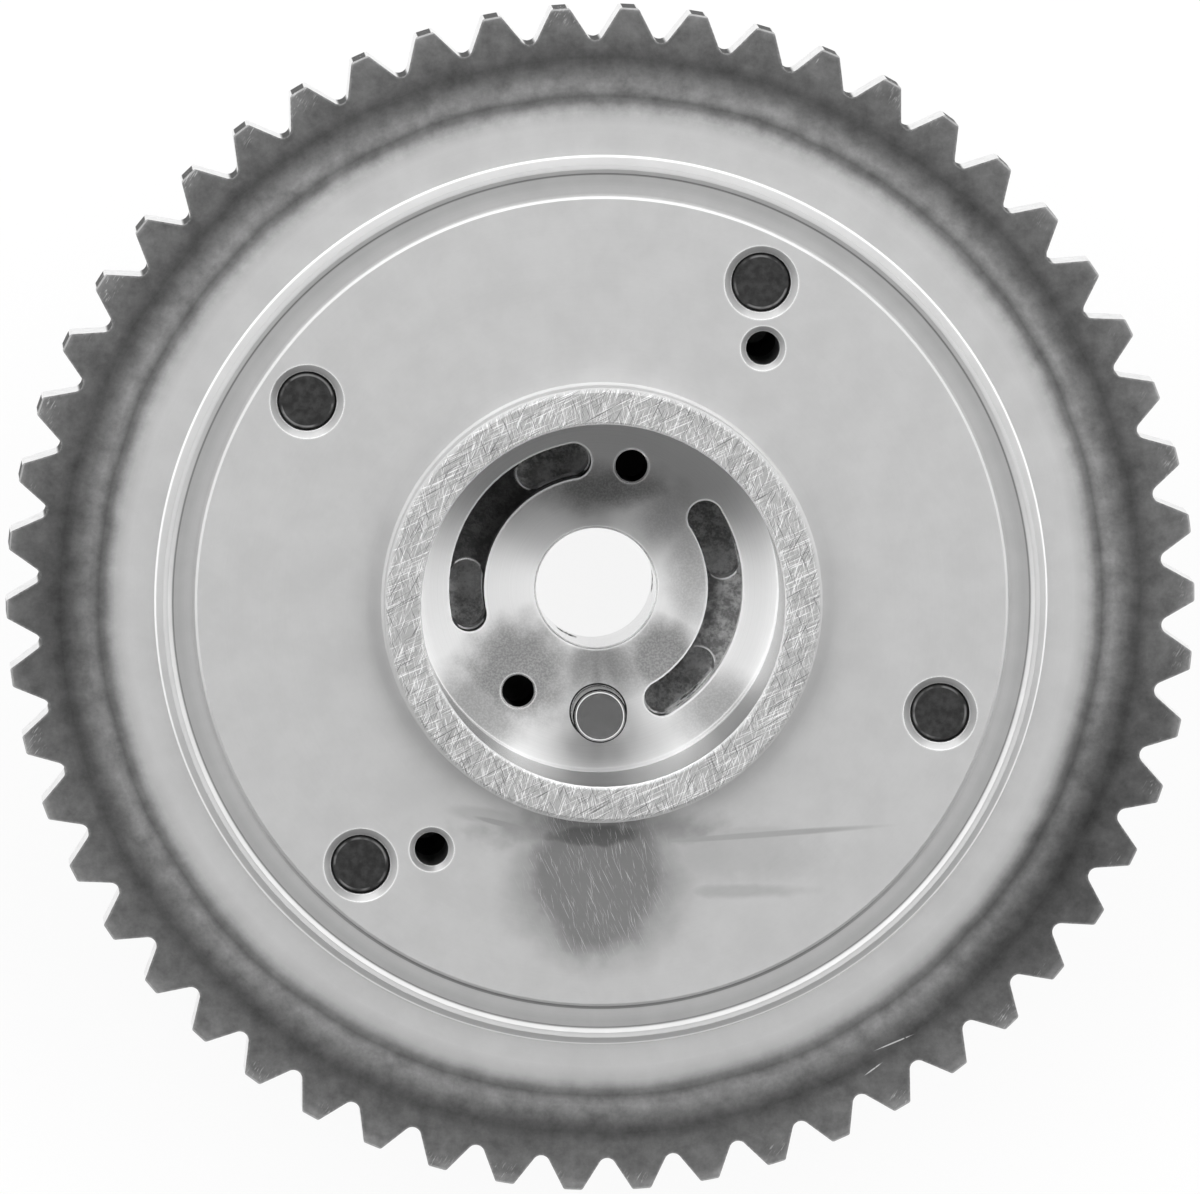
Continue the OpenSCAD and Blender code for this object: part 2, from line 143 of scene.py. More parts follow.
# Darkened patches on the seat, as share, middle, half size and how much of each is full:
# real stains low down, and painted shade at the top, the upper right and right of the bore
seat_stains_and_shade = [
    (1.00, (-0.0072, -0.0078), (0.0070, 0.0068), 0.35), (0.75, (0.0012, -0.0074), (0.0098, 0.0036), 0.2),
    (1.00, (0.0062, -0.0062), (0.0050, 0.0046), 0.35), (0.65, (0.0090, 0.0012), (0.0038, 0.0075), 0.15),
    (0.75, (-0.0108, -0.0112), (0.0066, 0.0062), 0.25), (0.70, (0.0112, -0.0113), (0.0056, 0.0050), 0.2),
    (1.00, (0.0008, 0.0093), (0.0088, 0.0032), 0.2), (0.60, (0.0062, 0.0066), (0.0046, 0.0046), 0.05),
]
dowel_spot = (0.0002016, -0.0115482, 0.0)
dowel_gap = 0.00250
dowel_mouth = 0.00270
seat_rings_per_metre = 9000.0
seat_specks_per_metre = 5200.0
seat_greys = (0.86, 0.96)
seat_roughness = (0.38, 0.43)
seat_metal = 0.97
stain_and_shade_grey = 0.2
stain_and_shade_share = 0.8
stain_and_shade_dulling = 0.1
bore_grey = 0.93
bore_polish = 0.26
gap_shade_grey = 0.03
hole_shade_grey = 0.045
cast_blotches_per_metre = 620.0
cast_grains_per_metre = 3600.0
cast_dulling = 0.1
floor_greys = (0.26, 0.62)
left_floor_shade_grey = 0.05
left_floor_shade_share = 0.82
pocket_greys = (0.42, 0.92)
pocket_highlight_grey = 0.95
highlight_grey = 0.95
edge_width = 0.0005
edge_lean = 0.45
highlight_paleness = 0.60
seat_bump_strength = 0.5
seat_bump_depth = 0.00003


def vector(tree, operation, *values, result="Vector"):
    """The result of one sum on vectors."""
    made = wire(tree, "ShaderNodeVectorMath", dict(enumerate(values)), operation=operation)
    return made.outputs[result]


def part_of(tree, value, axis):
    """One coordinate of a vector."""
    return wire(tree, "ShaderNodeSeparateXYZ", {0: value}).outputs[axis]


def level_part(tree, place):
    """A place with its height taken away."""
    return vector(tree, "MULTIPLY", place, (1, 1, 0))


def length_of(tree, value):
    """The length of a vector."""
    return vector(tree, "LENGTH", value, result="Value")


def lathe_place(tree):
    """Object coordinates, whole and level, distance from the axis and height, for a turned piece."""
    place = own_place(tree)
    flat = level_part(tree, place)
    return place, flat, length_of(tree, flat), part_of(tree, place, "Z")


def rise(tree, value, start, end):
    """A soft step that goes from 0 at start to 1 at end."""
    step = wire(tree, "ShaderNodeMapRange", {"Value": value, "From Min": start, "From Max": end},
                interpolation_type="SMOOTHSTEP")
    return step.outputs["Result"]


def less(tree, value):
    """What is left of 1 when a share is taken away."""
    return calc(tree, "SUBTRACT", 1.0, value)


def both(tree, first, *others):
    """The product of two or more shares."""
    for other in others:
        first = calc(tree, "MULTIPLY", first, other)
    return first


def most(tree, first, *others):
    """The largest of two or more shares."""
    for other in others:
        first = calc(tree, "MAXIMUM", first, other)
    return first


def paint(tree, under, mask, share, level):
    """A grey laid over a colour where a mask shows it, as strongly as a share says."""
    return tint(tree, both(tree, mask, share), under, grey(level))


def between(tree, value, low, high, soft):
    """1 from low to high, with soft ends inside them."""
    return both(tree, rise(tree, value, low, low + soft), less(tree, rise(tree, value, high - soft, high)))


def rings(tree, radius, per_metre):
    """Turning marks, as a run of fine rings round the axis."""
    inputs = {"W": radius, "Scale": per_metre, "Detail": 3.0, "Roughness": 0.6}
    return wire(tree, "ShaderNodeTexNoise", inputs, noise_dimensions="1D").outputs["Fac"]


def to_world(tree, value, kind):
    """A direction on the piece, turned into the scene's own."""
    turned = wire(tree, "ShaderNodeVectorTransform", {"Vector": value}, vector_type=kind,
                  convert_from="OBJECT", convert_to="WORLD")
    return turned.outputs["Vector"]


def lathe_tangent(tree, flat):
    """The way across the turning marks, so that reflections spread across them."""
    out = vector(tree, "NORMALIZE", flat)
    return to_world(tree, vector(tree, "ADD", out, (0, 0, 0.5)), "VECTOR")


def blot(tree, place, middle, size, ragged, noise_scale, core=0.15):
    """A soft-edged patch, 1 in its core, with its edge broken up by noise."""
    moved = vector(tree, "SUBTRACT", place, middle)
    reach = length_of(tree, vector(tree, "DIVIDE", moved, size))
    broken = both(tree, calc(tree, "SUBTRACT", grain(tree, place, noise_scale, detail=4.0), 0.5), ragged)
    return less(tree, rise(tree, calc(tree, "ADD", reach, broken), core, 1.0))


def edge_line(tree, width, blunt=0.86, flat=0.98):
    """1 along the edges of a piece, to about half the width on each side of them."""
    rounded = wire(tree, "ShaderNodeBevel", {"Radius": width}, samples=8).outputs["Normal"]
    facing = wire(tree, "ShaderNodeNewGeometry").outputs["True Normal"]
    agree = vector(tree, "DOT_PRODUCT", rounded, facing, result="Value")
    return less(tree, rise(tree, agree, blunt, flat))


turned_steel, tree, skin = new_metal("turned_steel")
place, flat, radius, height = lathe_place(tree)
marks = rings(tree, radius, seat_rings_per_metre)
speck = grain(tree, place, seat_specks_per_metre, detail=3.0, roughness=0.7)

# The two curved slots, by their bearing from the axis
heading = vector(tree, "NORMALIZE", flat)
slot_shares = []
for bearing in slot_bearings:
    turn = math.radians(bearing)
    toward_slot = (math.cos(turn), math.sin(turn), 0)
    lined_up = vector(tree, "DOT_PRODUCT", heading, toward_slot, result="Value")
    limit = math.cos(math.radians(slot_reach))
    slot_shares.append(rise(tree, lined_up, limit - 0.01, limit + 0.01))
left_slot, right_slot = slot_shares
in_slot = most(tree, left_slot, right_slot)
sunk = both(tree, rise(tree, height, slot_depth_limit - 0.0004, slot_depth_limit),
            less(tree, rise(tree, height, seat_top - 0.0008, seat_top - 0.0002)),
            between(tree, radius, slot_middle - slot_half, slot_middle + slot_half, 0.0006))
deep = both(tree, sunk, less(tree, rise(tree, height, slot_floor - 0.0006, slot_floor - 0.0001)))

# Bright turned seat with speckled stains and painted shade, the reamed bore, and painted shade in the gap
# round the dowel
# The seat's dark patches are partly real stains and partly painted shade
stain_and_shade = 0.0
for share, spot, size, core in seat_stains_and_shade:
    patch = blot(tree, place, (*spot, seat_top), (*size, patch_depth), ragged=0.5, noise_scale=500.0,
                 core=core)
    stain_and_shade = most(tree, stain_and_shade, both(tree, patch, share))
stain_and_shade = both(tree, stain_and_shade, spread(tree, rise(tree, speck, 0.36, 0.60), 0.75, 1.0))
steel = greys(tree, marks, *seat_greys)
steel = paint(tree, steel, stain_and_shade, stain_and_shade_share, stain_and_shade_grey)
in_bore = less(tree, rise(tree, radius, bore_edge - 0.0001, bore_edge))
steel = tint(tree, in_bore, steel, grey(bore_grey))
dowel_reach = length_of(tree, vector(tree, "SUBTRACT", flat, dowel_spot))
# Painted shade: a near-black ring in the chamfer of the hole round the dowel
dowel_gap_shade = between(tree, dowel_reach, dowel_gap, dowel_mouth, 0.00004)
steel = tint(tree, dowel_gap_shade, steel, grey(gap_shade_grey))

# Cast skin, mottled and paler in the pockets, with painted shade: the drilled holes near black and the left
# slot's floor darkened
blotches = grain(tree, place, cast_blotches_per_metre, detail=4.0, roughness=0.7)
grains = grain(tree, place, cast_grains_per_metre, detail=2.0, roughness=0.6)
mottle = calc(tree, "ADD", both(tree, blotches, 0.65), both(tree, grains, 0.35))
mottle = rise(tree, mottle, 0.40, 0.62)
floor_skin = greys(tree, mottle, *floor_greys)
floor_skin = paint(tree, floor_skin, left_slot, left_floor_shade_share, left_floor_shade_grey)
# Painted highlights: pale spots on the pocket floors
pocket_highlight = 0.0
for spot, reach in pocket_highlights:
    patch = blot(tree, place, (*spot, slot_floor), (reach, reach, patch_depth), ragged=0.6,
                 noise_scale=900.0)
    pocket_highlight = most(tree, pocket_highlight, patch)
pocket_skin = greys(tree, mottle, *pocket_greys)
pocket_skin = paint(tree, pocket_skin, pocket_highlight, spread(tree, mottle, 0.55, 1.0), pocket_highlight_grey)
cast = tint(tree, deep, floor_skin, pocket_skin)
cast = tint(tree, in_slot, grey(hole_shade_grey), cast)
steel = tint(tree, sunk, steel, cast)

# Painted highlights along the edges of the slots, holes and bore: pale, less metallic, with the normal leant
# toward the axis
edges = edge_line(tree, edge_width, blunt=0.92, flat=0.985)
seat_edges = rise(tree, height, seat_top - 0.0003, seat_top - 0.0002)
pocket_edges = both(tree, between(tree, height, slot_floor - 0.00025, slot_floor + 0.00012, 0.00005),
                    between(tree, radius, slot_middle - pocket_line_half, slot_middle + pocket_line_half,
                            0.0002), in_slot)
edge_highlights = both(tree, edges, most(tree, seat_edges, pocket_edges),
                    rise(tree, dowel_reach, dowel_mouth + 0.0003, dowel_mouth + 0.0005))
steel = tint(tree, edge_highlights, steel, grey(highlight_grey))
tree.links.new(steel, skin.inputs["Base Color"])
bare_metal = calc(tree, "SUBTRACT", seat_metal, both(tree, edge_highlights, highlight_paleness))
tree.links.new(bare_metal, skin.inputs["Metallic"])
dullness = spread(tree, marks, *seat_roughness)
dullness = calc(tree, "ADD", dullness, both(tree, stain_and_shade, stain_and_shade_dulling))
dullness = calc(tree, "ADD", dullness, both(tree, sunk, cast_dulling))
dullness = calc(tree, "SUBTRACT", dullness, both(tree, in_bore, bore_polish))
tree.links.new(dullness, skin.inputs["Roughness"])
skin.inputs["Anisotropic"].default_value = 1.0
tree.links.new(lathe_tangent(tree, flat), skin.inputs["Tangent"])
relief = calc(tree, "ADD", both(tree, marks, 0.12), both(tree, mottle, sunk))
relief = calc(tree, "ADD", relief, both(tree, speck, stain_and_shade, 0.25))
scored = bumps(tree, relief, seat_bump_strength, seat_bump_depth)
inward = vector(tree, "MULTIPLY", heading, (-edge_lean, -edge_lean, 0))
leaning = to_world(tree, vector(tree, "ADD", inward, (0, 0, 1)), "NORMAL")
tree.links.new(tint(tree, edge_highlights, scored, leaning), skin.inputs["Normal"])
dress(turned_steel, "rotor")


# Timing dowel, lock pin, bush and spring seat: small pieces of hardened steel, ground all over.
# The dowel's foot is pressed into the rotor, and the others sit in the wide vane and the sprocket plate.
dowel_top = 0.0304
highlight_ring_in = 0.00213
highlight_ring_out = 0.00227
shade_ring_in = 0.00236
shade_ring_out = 0.00260
grinding_per_metre = 6000.0
ground_greys = (0.62, 0.75)
ground_roughness = (0.16, 0.30)
shade_ring_grey = 0.04
highlight_ring_paleness = 0.85

ground_steel, tree, skin = new_metal("ground_steel")
place = own_place(tree)
fine = grain(tree, place, grinding_per_metre, detail=3.0)
dowel_reach = length_of(tree, level_part(tree, vector(tree, "SUBTRACT", place, dowel_spot)))
height = part_of(tree, place, "Z")
# On the dowel's top: a painted highlight ring on its chamfer, and a painted shade ring on the chamfer's
# outer part
at_top = rise(tree, height, dowel_top - 0.00026, dowel_top - 0.00024)
highlight_ring = both(tree, at_top, between(tree, dowel_reach, highlight_ring_in, highlight_ring_out, 0.00004))
shade_ring = both(tree, at_top, between(tree, dowel_reach, shade_ring_in, shade_ring_out, 0.00003))
ground = greys(tree, fine, *ground_greys)
ground = tint(tree, highlight_ring, ground, grey(highlight_grey))
tree.links.new(tint(tree, shade_ring, ground, grey(shade_ring_grey)), skin.inputs["Base Color"])
tree.links.new(less(tree, both(tree, highlight_ring, highlight_ring_paleness)), skin.inputs["Metallic"])
tree.links.new(spread(tree, fine, *ground_roughness), skin.inputs["Roughness"])
dress(ground_steel, "cam_dowel", "lock_pin", "lock_bush", "lock_spring_seat")


# Vane and lobe seals: moulded strips of filled plastic that wipe the chamber wall and the hub.
# They slide in slots and are cut to length, with a matt face and pale fibres.
seal_places = [(kind, number) for kind in ("vane", "lobe") for number in (1, 2, 3, 4)]
fibres_per_metre = 3200.0
plastic_dark = (0.035, 0.033, 0.03, 1)
plastic_pale = (0.11, 0.105, 0.095, 1)
plastic_roughness = (0.4, 0.6)

seal_plastic = bpy.data.materials.new("seal_plastic")
seal_plastic.use_nodes = True
tree = seal_plastic.node_tree
skin = tree.nodes["Principled BSDF"]
fibres = grain(tree, own_place(tree), fibres_per_metre, detail=4.0, roughness=0.7)
moulded = tint(tree, rise(tree, fibres, 0.5, 0.75), plastic_dark, plastic_pale)
tree.links.new(moulded, skin.inputs["Base Color"])
tree.links.new(spread(tree, fibres, *plastic_roughness), skin.inputs["Roughness"])
dress(seal_plastic, *[f"{kind}_seal_{number}" for kind, number in seal_places])


# Seal springs and lock spring: bowed leaves of thin strip and one coil of drawn wire.
# They are blued spring steel, left bare.
drawing_per_metre = 5000.0
blued_dark = (0.30, 0.31, 0.33, 1)
blued_pale = (0.48, 0.49, 0.51, 1)
spring_roughness = (0.22, 0.36)

spring_steel, tree, skin = new_metal("spring_steel")
drawn = grain(tree, own_place(tree), drawing_per_metre, detail=2.0)
tree.links.new(tint(tree, drawn, blued_dark, blued_pale), skin.inputs["Base Color"])
tree.links.new(spread(tree, drawn, *spring_roughness), skin.inputs["Roughness"])
dress(spring_steel, "lock_spring", *[f"{kind}_seal_spring_{number}" for kind, number in seal_places])


# Front cover: a flat steel disc that closes the chambers, ground on both faces.
# Its middle hole runs on the rotor's boss, and four bolts hold it to the stator.
cover_rings_per_metre = 5000.0
cover_clouds_per_metre = 220.0
cover_greys = (0.44, 0.60)
cover_roughness = (0.28, 0.42)
cover_mark_strength = 0.3
cover_mark_depth = 0.000006

cover_steel, tree, skin = new_metal("cover_steel")
place = own_place(tree)
marks = rings(tree, length_of(tree, level_part(tree, place)), cover_rings_per_metre)
clouds = grain(tree, place, cover_clouds_per_metre, detail=3.0)
tree.links.new(greys(tree, clouds, *cover_greys), skin.inputs["Base Color"])
tree.links.new(spread(tree, marks, *cover_roughness), skin.inputs["Roughness"])
tree.links.new(bumps(tree, marks, cover_mark_strength, cover_mark_depth), skin.inputs["Normal"])
dress(cover_steel, "front_cover")


# Sprocket plate: one steel piece with a raised disc, a journal collar and the toothed rim.
# The disc is ground, the collar's face lapped, and the rim hardened, which leaves bands of dark oxide.
disc_top = 0.0395
rim_top = 0.038
collar_top = 0.043
# Distances from the axis, from the middle outwards
journal_edge = 0.0170
collar_edge = 0.0203
holes_from = 0.025
holes_to = 0.0365
disc_edge = 0.0372
ledge_in = 0.03755
ledge_dark_from = 0.038
ledge_dark_full = 0.039
ridge_foot_in = 0.03938
ridge_foot_out = 0.0396
ledge_out = 0.0397
ridge_in = 0.0399
ridge_line_in = 0.04096
ridge_line_out = 0.04120
ridge_out = 0.0413
rim_from = 0.0440
rim_full = 0.0465
tooth_root = 0.0514
flank_foot = 0.0520
scuffs_from = 0.0526
scuffs_full = 0.0537
chamfer_foot = 0.05455
flank_top = 0.05466
tooth_count = 54
tooth_pitch = 2 * math.pi / tooth_count
tooth_phase = 0.6
tip_half = 0.00066
# Darkness of the oxide by distance from the axis, as millimetres and share of the bare steel
oxide_bands = [
    (43.6, 1.0), (44.75, 0.84), (45.25, 0.64), (45.75, 0.36), (46.25, 0.25), (46.75, 0.40), (47.25, 0.45),
    (47.75, 0.38), (48.25, 0.30), (48.75, 0.24), (49.25, 0.18), (49.75, 0.15), (50.25, 0.18), (50.75, 0.22),
    (51.4, 0.24), (52.0, 0.26), (52.8, 0.27), (54.0, 0.31), (54.5, 0.42),
]
oxide_from = 43.0
oxide_to = 55.0
oxide_waves_per_metre = 110.0
oxide_patches_per_metre = 520.0
oxide_patchiness = 1.3
coil_offset = (-0.00004, 0.00033, 0)
coil_waver = 0.0008
# Painted shade on the rim, at the lower right and the left, as darkness, middle and half size
rim_shade_marks = [(0.34, (0.0446, -0.0237), (0.024, 0.024)), (0.2, (-0.0505, 0.0), (0.014, 0.018))]
# The smudge below the collar, partly a real smudge and partly painted shadow of the collar, and its soft
# fringe of painted shade, as middle and half size
smudge_shadow_spot = (-0.0004, -0.0252)
smudge_shadow_size = (0.0080, 0.0098)
smudge_shadow_share = 0.70
shade_fringe_spot = (-0.0003, -0.0262)
shade_fringe_size = (0.0104, 0.0096)
shade_fringe_share = 0.46
soil_depth = 0.05
soil_shade_grey = 0.1
# Marks on the disc beside the smudge, as darkness, middle and half size: painted shadow in a dark band under
# the collar, a wider band of painted shade to each side of it, and a soft patch and a smear on the right
soil_and_shade_marks = [
    (0.90, (-0.0004, -0.0216), (0.0080, 0.0020)), (0.50, (0.0, -0.0211), (0.0155, 0.0028)),
    (0.16, (0.0110, -0.0232), (0.0130, 0.0040)), (0.24, (0.0125, -0.0268), (0.0090, 0.0009)),
]
# Streaks wiped across the disc, as darkness, start, end and width
soil_streaks = [
    (0.40, (-0.0130, -0.0195), (-0.0048, -0.0216), 0.0008),
    (0.20, (-0.0150, -0.0190), (-0.0060, -0.0206), 0.0020),
    (0.34, (0.0000, -0.0226), (0.0280, -0.0207), 0.0008),
    (0.16, (0.0040, -0.0222), (0.0200, -0.0212), 0.0022),
]
smudge_scratch_width = 0.00008
smudge_scratch_grey = 0.6
smudge_scratch_share = 0.75
# Lapping scratches on the collar, as angle and length
dark_lap_runs = ((62.0, 0.0030), (29.0, 0.0040), (112.0, 0.0022))
pale_lap_runs = ((71.0, 0.0026), (24.0, 0.0034), (100.0, 0.0024))
lap_width = 0.00009
lap_share = 0.9
lapped_grey = 0.46
dark_lap_grey = 0.14
pale_lap_grey = 0.95
# Long scratches across the rim, as the start and end of each
rim_nicks = [((0.0250, -0.0420), (0.0291, -0.0403)), ((0.0242, -0.0443), (0.0261, -0.0429))]
nick_width = 0.00016
scuff_angle = 58.0
scuff_length = 0.0009
scuff_width = 0.00009
scuff_share = 0.7
soot_share = 0.8
chamfer_rub = 0.25
rubs_per_metre = 1300.0
rubbed_greys = (0.76, 0.96)
plate_rings_per_metre = 4200.0
plate_clouds_per_metre = 260.0
plate_specks_per_metre = 3400.0
plate_greys = (0.54, 0.585)
plate_roughness = (0.50, 0.58)
speck_grey = 0.45
speck_share = 0.05
ledge_dark_shares = (0.16, 0.26)
ridge_sheen_grey = 0.8
ridge_sheen_share = 0.4
shadow_line_grey = 0.2
highlight_line_grey = 0.9
line_soft = 0.00006
mouth_width = 0.0004
oxide_dulling = 0.06
journal_polish = 0.30
countersink_polish = 0.20
rub_polish = 0.25
plate_bump_strength = 0.4
plate_bump_depth = 0.00002


def scratches(tree, place, angle, length, width, low, high):
    """Straight scratches at one angle, as thin streaks of noise."""
    turned = wire(tree, "ShaderNodeMapping", {"Vector": place, "Rotation": (0, 0, math.radians(angle)),
                                              "Scale": (length, width, length)}, vector_type="TEXTURE")
    streak = grain(tree, turned.outputs["Vector"], 1.0, detail=2.0, roughness=0.55)
    return rise(tree, streak, low, high)


def nick(tree, place, start, end, width):
    """One thin scratch from a start to an end."""
    run = Vector(end) - Vector(start)
    middle = (Vector(start) + Vector(end)) / 2
    laid = wire(tree, "ShaderNodeMapping", {
        "Vector": place, "Location": (middle.x, middle.y, 0), "Rotation": (0, 0, math.atan2(run.y, run.x)),
        "Scale": (run.length / 2, width / 2, 1)}, vector_type="TEXTURE").outputs["Vector"]
    return less(tree, rise(tree, length_of(tree, level_part(tree, laid)), 0.5, 1.0))


plate_steel, tree, skin = new_metal("plate_steel")
place, flat, radius, height = lathe_place(tree)
facing = wire(tree, "ShaderNodeNewGeometry").outputs["True Normal"]
upward = calc(tree, "ABSOLUTE", part_of(tree, facing, "Z"))
edges = edge_line(tree, edge_width)

# Bare steel with faint clouds and turning marks
clouds = grain(tree, place, plate_clouds_per_metre, detail=5.0, roughness=0.62)
speck = grain(tree, place, plate_specks_per_metre, detail=3.0, roughness=0.65)
marks = rings(tree, radius, plate_rings_per_metre)
steel = greys(tree, rise(tree, clouds, 0.25, 0.75), *plate_greys)
steel = paint(tree, steel, rise(tree, speck, 0.5, 0.75), speck_share, speck_grey)

# Darker ledge, deepening outward; painted highlight on the ridge; painted shadow lines at the ridge foot and
# below the disc edge; painted highlight lines on the ridge, disc edge and journal edge
darker_ledge = between(tree, radius, ledge_in, ledge_out, 0.0002)
ledge_dark_share = spread(tree, rise(tree, radius, ledge_dark_from, ledge_dark_full), *ledge_dark_shares)
steel = paint(tree, steel, darker_ledge, ledge_dark_share, 0.0)
# Painted highlight: the ridge's slope is painted paler all round
ridge_sheen = between(tree, radius, ridge_in, ridge_out, 0.0003)
steel = paint(tree, steel, ridge_sheen, ridge_sheen_share, ridge_sheen_grey)
# Painted shadow in a dark line at the foot of the ridge
ridge_foot_shadow = between(tree, radius, ridge_foot_in, ridge_foot_out, line_soft)
steel = paint(tree, steel, ridge_foot_shadow, 0.8, shadow_line_grey)
# Painted highlight in a thin pale line on the ridge
ridge_highlight = between(tree, radius, ridge_line_in, ridge_line_out, 0.00008)
steel = tint(tree, ridge_highlight, steel, grey(highlight_line_grey))
northing = part_of(tree, vector(tree, "NORMALIZE", flat), "Y")
# Painted shadow on the ledge just outside the disc edge, on the lower side only
disc_edge_shadow = both(tree, between(tree, radius, disc_edge + 0.00025, disc_edge + 0.0006, line_soft),
                      less(tree, rise(tree, northing, -0.95, -0.45)))
# Painted highlight on the disc edge, on the upper half only
disc_edge_highlight = both(tree, between(tree, radius, disc_edge, disc_edge + 0.00028, line_soft),
                      rise(tree, northing, -0.5, 0.0))
steel = paint(tree, steel, disc_edge_shadow, 0.85, shadow_line_grey)
steel = paint(tree, steel, disc_edge_highlight, 0.5, highlight_line_grey)
# Painted highlight on the journal's top edge
journal_highlight = both(tree, between(tree, radius, journal_edge - 0.0003, journal_edge + 0.0001, line_soft),
                    rise(tree, height, collar_top - 0.0003, collar_top - 0.0002))
steel = paint(tree, steel, journal_highlight, 0.9, highlight_grey)

# Painted highlights round the bolt holes and the tool holes
hole_highlights = both(tree, edge_line(tree, mouth_width, blunt=0.94, flat=0.99),
              between(tree, radius, holes_from, holes_to, 0.0003))
steel = paint(tree, steel, hole_highlights, 0.7, highlight_grey)

# Smudge below the collar, partly real and partly painted shadow, with painted shade round it and under the
# collar, wiping streaks beside it and fine scratches through it
shade_fringe = blot(tree, place, (*shade_fringe_spot, disc_top), (*shade_fringe_size, soil_depth), ragged=0.25,
              noise_scale=420.0, core=0.5)
smudge_and_shadow = blot(tree, place, (*smudge_shadow_spot, disc_top), (*smudge_shadow_size, soil_depth), ragged=0.3,
              noise_scale=420.0, core=0.6)
soil_and_shade = both(tree, shade_fringe, shade_fringe_share)
for share, spot, size in soil_and_shade_marks:
    mark = blot(tree, place, (*spot, disc_top), (*size, soil_depth), ragged=0.5, noise_scale=700.0, core=0.3)
    soil_and_shade = most(tree, soil_and_shade, both(tree, mark, share))
for share, start, end, wide in soil_streaks:
    soil_and_shade = most(tree, soil_and_shade, both(tree, nick(tree, place, start, end, wide), share))
soil_and_shade = most(tree, soil_and_shade, both(tree, smudge_and_shadow, smudge_shadow_share))
on_disc = between(tree, radius, collar_edge - 0.0002, disc_edge + 0.0003, 0.0003)
soil_and_shade = both(tree, soil_and_shade, on_disc)
steel = tint(tree, soil_and_shade, steel, grey(soil_shade_grey))
pale = most(tree, scratches(tree, place, 116.0, 0.0036, smudge_scratch_width, 0.62, 0.69),
            scratches(tree, place, 99.0, 0.0020, smudge_scratch_width, 0.64, 0.70))
steel = paint(tree, steel, both(tree, pale, smudge_and_shadow, on_disc), smudge_scratch_share, smudge_scratch_grey)

# Lapped face of the collar, with short crossing scratches, dark and bright
on_collar = both(tree, rise(tree, height, collar_top - 0.00045, collar_top - 0.00002),
                 rise(tree, radius, journal_edge - 0.0003, journal_edge - 0.0001))
dark_laps = pale_laps = 0.0
for angle, length in dark_lap_runs:
    dark_laps = most(tree, dark_laps, scratches(tree, place, angle, length, lap_width, 0.60, 0.70))
for angle, length in pale_lap_runs:
    pale_laps = most(tree, pale_laps, scratches(tree, place, angle, length, lap_width, 0.57, 0.67))
steel = tint(tree, on_collar, steel, grey(lapped_grey))
steel = paint(tree, steel, both(tree, pale_laps, on_collar), lap_share, pale_lap_grey)
steel = paint(tree, steel, both(tree, dark_laps, on_collar), lap_share, dark_lap_grey)

# Oxide bands, a little off the axis and wavy, as the hardening coil leaves them
coil_radius = length_of(tree, vector(tree, "SUBTRACT", flat, coil_offset))
wave = calc(tree, "SUBTRACT", grain(tree, flat, oxide_waves_per_metre, detail=4.0, roughness=0.6), 0.5)
coil_radius = calc(tree, "ADD", coil_radius, both(tree, wave, coil_waver))
along = wire(tree, "ShaderNodeMapRange", {"Value": coil_radius, "From Min": oxide_from / 1000,
                                          "From Max": oxide_to / 1000}).outputs["Result"]
bands = wire(tree, "ShaderNodeValToRGB", {"Fac": along})
stops = bands.color_ramp.elements
stops[0].position = (oxide_bands[0][0] - oxide_from) / (oxide_to - oxide_from)
stops[0].color = grey(oxide_bands[0][1])
stops[1].position = (oxide_bands[-1][0] - oxide_from) / (oxide_to - oxide_from)
stops[1].color = grey(oxide_bands[-1][1])
for distance, share in oxide_bands[1:-1]:
    stop = stops.new((distance - oxide_from) / (oxide_to - oxide_from))
    stop.color = grey(share)
# Painted shade: the rim is darkened at the lower right and the left, where less light falls
rim_shade = 0.0
for share, spot, size in rim_shade_marks:
    patch = blot(tree, place, (*spot, rim_top), (*size, soil_depth), ragged=0.5, noise_scale=120.0)
    rim_shade = most(tree, rim_shade, both(tree, patch, share))
on_rim = rise(tree, radius, rim_from, rim_full)
bare_share = both(tree, bands.outputs["Color"], less(tree, both(tree, rim_shade, on_rim)))
patchy = calc(tree, "SUBTRACT", grain(tree, place, oxide_patches_per_metre, detail=5.0, roughness=0.7), 0.5)
patchy = both(tree, patchy, on_rim, oxide_patchiness)
bare_share = both(tree, bare_share, calc(tree, "ADD", 1.0, patchy))

# Bare metal in the oxide: tooth flanks rubbed by the chain, tip chamfers, worn edges, nicks and scuffs
upright = less(tree, rise(tree, upward, 0.25, 0.5))
flanks = both(tree, upright, rise(tree, radius, flank_foot - 0.0002, flank_foot),
              less(tree, rise(tree, radius, flank_top - 0.00004, flank_top)))
bearing = calc(tree, "ARCTAN2", part_of(tree, flat, "Y"), part_of(tree, flat, "X"))
turned = calc(tree, "DIVIDE", calc(tree, "SUBTRACT", bearing, math.radians(tooth_phase)), tooth_pitch)
off_centre = calc(tree, "PINGPONG", turned, 0.5)
beside_tip = both(tree, off_centre, tooth_pitch, radius)
tip_corners = both(tree, upright, rise(tree, radius, flank_top - 0.0001, flank_top),
                   rise(tree, beside_tip, tip_half - 0.00006, tip_half + 0.00002))
flanks = most(tree, flanks, tip_corners)
tip_chamfer = both(tree, rise(tree, radius, chamfer_foot, chamfer_foot + 0.00003),
                   between(tree, upward, 0.4, 0.95, 0.1))
sooty = both(tree, upright, rise(tree, radius, tooth_root, tooth_root + 0.0002), less(tree, flanks))
bare_share = both(tree, bare_share, less(tree, both(tree, sooty, soot_share)))
wear = both(tree, edges, spread(tree, rise(tree, speck, 0.35, 0.6), 0.08, 0.4))
